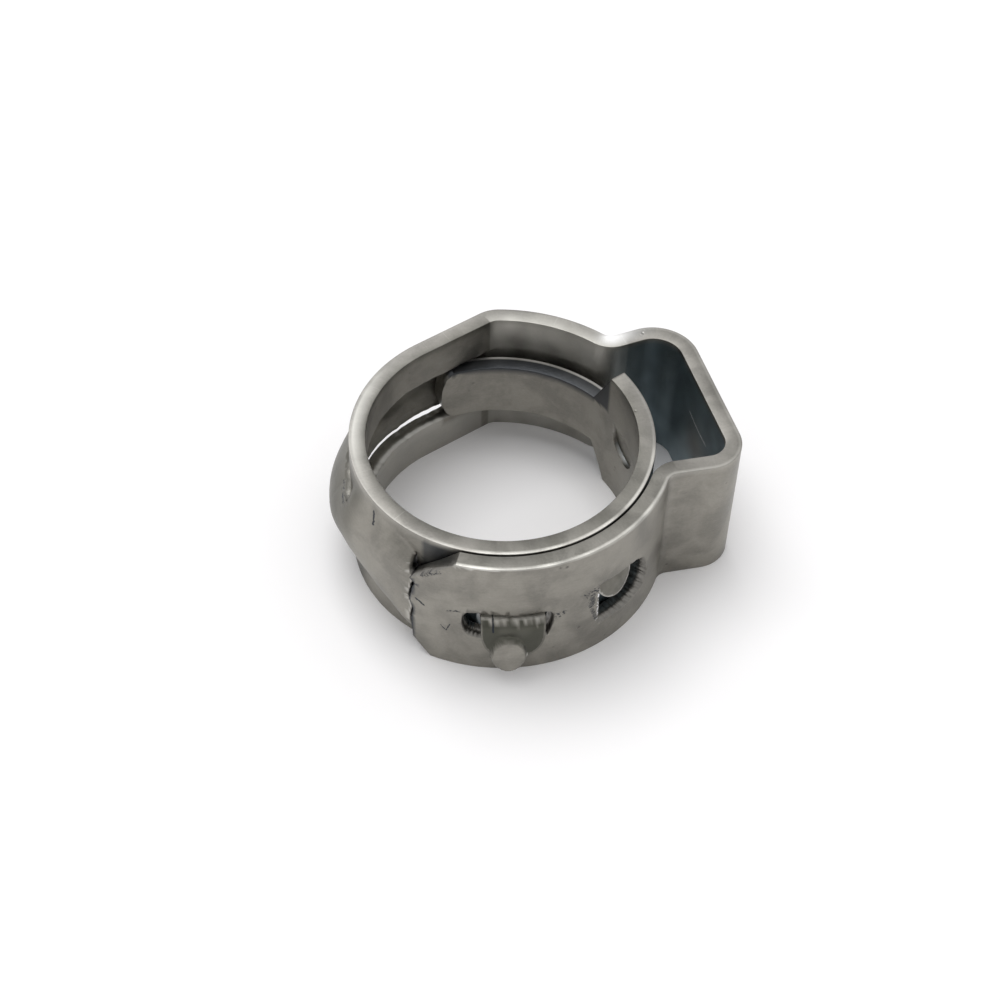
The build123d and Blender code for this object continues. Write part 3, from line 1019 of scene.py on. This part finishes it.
# Marks: ring angle and height at both ends, width, how far round the strip the mark lies
# (the free end's layer is one turn before the inner layer) and how spotty it is.
darkMarks = (
    ((224.5, 3.82), (227.4, 3.56), 0.07, -360, 0.0),
    ((233.4, 2.55), (235.2, 2.29), 0.035, -360, 0.0),
    ((235.2, 2.29), (236.5, 2.80), 0.03, -360, 0.0),
    ((236.0, 3.72), (239.7, 3.88), 0.10, -360, 1.0),
    ((271.0, 3.34), (273.4, 3.50), 0.20, -360, 1.0),
    ((282.6, 4.05), (285.8, 4.16), 0.24, -360, 1.0),
    ((284.7, 3.75), (284.3, 3.15), 0.17, -360, 0.4),
    ((284.6, 2.95), (286.7, 2.10), 0.10, -360, 0.6),
    ((227.0, 5.62), (232.5, 6.20), 0.14, -360, 1.0),
    ((211.0, 1.90), (215.0, 1.72), 0.18, 0, 0.5),
    ((214.4, 1.60), (212.6, 1.05), 0.24, 0, 0.5),
    ((199.0, 6.35), (200.9, 5.80), 0.07, 0, 0.0),
    ((249.3, 3.40), (249.3, 2.50), 0.045, 0, 0.0),
    ((172.0, 4.86), (183.0, 4.95), 0.12, 0, 1.0),
)
# painted highlight line along the load window's left edge
highlightMarks = (
    ((286.9, 3.90), (287.0, 1.90), 0.06, -360, 1.0),
)
# painted glints along the inside of the ear's end wall
earGlint = (
    ((5.7, 4.73), (2.3, 4.63), 0.05, 0, 0.0),
    ((2.3, 4.63), (-1.8, 4.58), 0.04, 0, 0.0),
    ((-1.8, 4.58), (-6.5, 4.59), 0.06, 0, 0.5),
)


def markMask(tree, flat, marks):
    total = 0.0
    for start, stop, width, turn, spots in marks:
        line = put(tree, "ShaderNodeGroup", {}, node_tree=scoredLine)
        tree.links.new(flat, line.inputs["Flat pattern"])
        for socket, (angle, height) in (("From", start), ("To", stop)):
            place = (reachAt(angle + turn) / patternUnit, height / patternUnit, 0)
            line.inputs[socket].default_value = place
        line.inputs["Width"].default_value = width / patternUnit
        line.inputs["Spots"].default_value = spots
        total = math(tree, "MAXIMUM", total, line.outputs["Mask"])
    return total


def steel(name, finish):
    material, surface = shader(name)
    tree, links = material.node_tree, material.node_tree.links
    place = put(tree, "ShaderNodeTexCoord").outputs["Object"]
    flat = put(tree, "ShaderNodeUVMap", uv_map="flatStrip").outputs["UV"]
    mill = put(tree, "ShaderNodeGroup", {}, node_tree=millFinish)
    marks = put(tree, "ShaderNodeGroup", {}, node_tree=handlingMarks)
    for node in (mill, marks):
        links.new(place, node.inputs["Place"])
        links.new(flat, node.inputs["Flat pattern"])
    mill.inputs["Grain"].default_value = finish["grain"]
    mill.inputs["Patches"].default_value = finish["patches"]

    # painted shade, its tint and painted highlights, read from the strip's attributes
    state = {key: put(tree, "ShaderNodeAttribute", attribute_name=key).outputs["Fac"]
             for key in ("deepShade", "dullShade", "highlight", "brightHighlight", "shadeTint", "outside")}
    scored = times(tree, markMask(tree, flat, darkMarks), state["outside"])
    glint = times(tree, markMask(tree, flat, earGlint), minus(tree, 1.0, state["outside"]))
    bright = times(tree, markMask(tree, flat, highlightMarks), state["outside"])
    bright = math(tree, "MAXIMUM", bright, glint)
    pits = marks.outputs["Pits"]
    # painted shade, a painted tint of shade and painted highlights over the metal's own colour,
    # scratches, pits and scored lines
    layers = (
        (times(tree, marks.outputs["Scratches"], finish["scratches"]), finish["scratchColour"]),
        (times(tree, pits, finish["pits"]), finish["pitColour"]),
        (state["shadeTint"], finish["shadeTintColour"]),
        (state["dullShade"], finish["dullShadeColour"]),
        (state["highlight"], finish["highlightColour"]),
        (state["deepShade"], finish["shadeAndDirtColour"]),
        (times(tree, scored, finish["scoreDirt"]), finish["shadeAndDirtColour"]),
        (state["brightHighlight"], finish["brightHighlightColour"]),
        (bright, finish["brightHighlightColour"]),
    )
    tone = math(tree, "ADD", 0.5, mill.outputs["Tone"])
    colour = mixed(tree, tone, finish["dark"], finish["light"])
    for share, tint in layers:
        colour = mixed(tree, share, colour, tint)
    links.new(colour, surface.inputs["Base Color"])
    roughness = math(tree, "ADD", finish["roughness"], mill.outputs["Roughness"])
    links.new(roughness, surface.inputs["Roughness"])
    surface.inputs["Metallic"].default_value = 1.0
    sunkPits, sunkLines = times(tree, pits, finish["pitDepth"]), times(tree, scored, finish["scoreDepth"])
    hollow = math(tree, "ADD", sunkPits, sunkLines)
    relief = {"Height": minus(tree, mill.outputs["Height"], hollow),
              "Strength": finish["bump"], "Distance": finish["bumpDepth"]}
    links.new(put(tree, "ShaderNodeBump", relief).outputs["Normal"], surface.inputs["Normal"])
    return material


# colours of painted shade, its cool tint and painted highlights, with the dirt and depth of scored lines
# and pits
shadesAndMarks = {
    "dullShadeColour": (0.078, 0.078, 0.064, 1),
    "highlightColour": (0.62, 0.61, 0.57, 1),
    "shadeTintColour": (0.27, 0.345, 0.38, 1),
    "shadeAndDirtColour": (0.022, 0.028, 0.038, 1),
    "brightHighlightColour": (0.95, 0.95, 0.95, 1),
    "scoreDirt": 0.85,
    "scoreDepth": 4.0,
    "pitDepth": 2.0,
    "bumpDepth": 0.00002,
}
sheetFinish = {
    "dark": (0.192, 0.184, 0.164, 1),
    "light": (0.330, 0.315, 0.280, 1),
    "grain": 1.1,
    "patches": 0.75,
    "roughness": 0.42,
    "bump": 0.5,
    "scratches": 0.30,
    "scratchColour": (0.46, 0.45, 0.42, 1),
    "pits": 0.55,
    "pitColour": (0.09, 0.085, 0.075, 1),
    **shadesAndMarks,
}
edgeFinish = {
    "dark": (0.172, 0.166, 0.153, 1),
    "light": (0.340, 0.327, 0.302, 1),
    "grain": 1.2,
    "patches": 0.6,
    "roughness": 0.40,
    "bump": 0.8,
    "scratches": 0.35,
    "scratchColour": (0.60, 0.59, 0.56, 1),
    "pits": 0.5,
    "pitColour": (0.12, 0.11, 0.10, 1),
    **shadesAndMarks,
}
band.data.materials.append(steel("rolledSheet", sheetFinish))
band.data.materials.append(steel("shearedEdge", edgeFinish))
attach(band, "root")
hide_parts("clamp_band")
print("materials laid on")

# Floor, light and camera
studio = {
    "floorHalf": 1.5,
    "floorColour": (0.945, 0.938, 0.945, 1),
    "floorRoughness": 0.9,
    "skyStrength": 0.75,
    "lampPlace": (-0.06, 0.17, 0.5),
    "lampSize": 0.34,
    "lampPower": 1.35,
}
view = {
    "lens": 72.0,
    "sensor": 36,
    "nearest": 0.005,
    "turn": -18.2,
    "tilt": 49.748,
    "roll": 1.79,
    "place": (-0.0126, -59.346, 72.617),
}


def laidFloor():
    floorMesh = bmesh.new()
    bmesh.ops.create_grid(floorMesh, x_segments=1, y_segments=1, size=studio["floorHalf"])
    floor = newObject("floor", meshFrom(floorMesh, "floor"))
    floorPaper, surface = shader("floorPaper")
    surface.inputs["Base Color"].default_value = studio["floorColour"]
    surface.inputs["Roughness"].default_value = studio["floorRoughness"]
    floor.data.materials.append(floorPaper)
    return floor


def softLight():
    world = bpy.data.worlds.new("studio")
    bpy.context.scene.world = world
    world.use_nodes = True
    sky = world.node_tree.nodes["Background"]
    sky.inputs["Color"].default_value = (1, 1, 1, 1)
    sky.inputs["Strength"].default_value = studio["skyStrength"]
    light = bpy.data.lights.new("overhead", "AREA")
    light.energy, light.size = studio["lampPower"], studio["lampSize"]
    lamp = newObject("overhead", light)
    lamp.location = studio["lampPlace"]
    lamp.rotation_euler = (-Vector(studio["lampPlace"])).to_track_quat("-Z", "Y").to_euler()


def aimedCamera():
    lens = bpy.data.cameras.new("camera")
    lens.lens, lens.sensor_width, lens.clip_start = view["lens"], view["sensor"], view["nearest"]
    camera = newObject("camera", lens)
    tilt, lean = radians(view["tilt"]), radians(view["roll"])
    side, up = Vector((1, 0, 0)), Vector((0, sin(tilt), cos(tilt)))
    right = side * cos(lean) + up * sin(lean)
    top = up * cos(lean) - side * sin(lean)
    back = Vector((0, -cos(tilt), sin(tilt)))
    pose = Matrix((right, top, back)).transposed().to_4x4()
    pose.translation = Vector(view["place"]) * mm
    camera.matrix_world = Matrix.Rotation(radians(view["turn"]), 4, "Z") @ pose
    return camera


laidFloor()
softLight()
bpy.context.scene.camera = aimedCamera()
bpy.context.scene.view_settings.view_transform = "Standard"
print("floor, light and camera set")
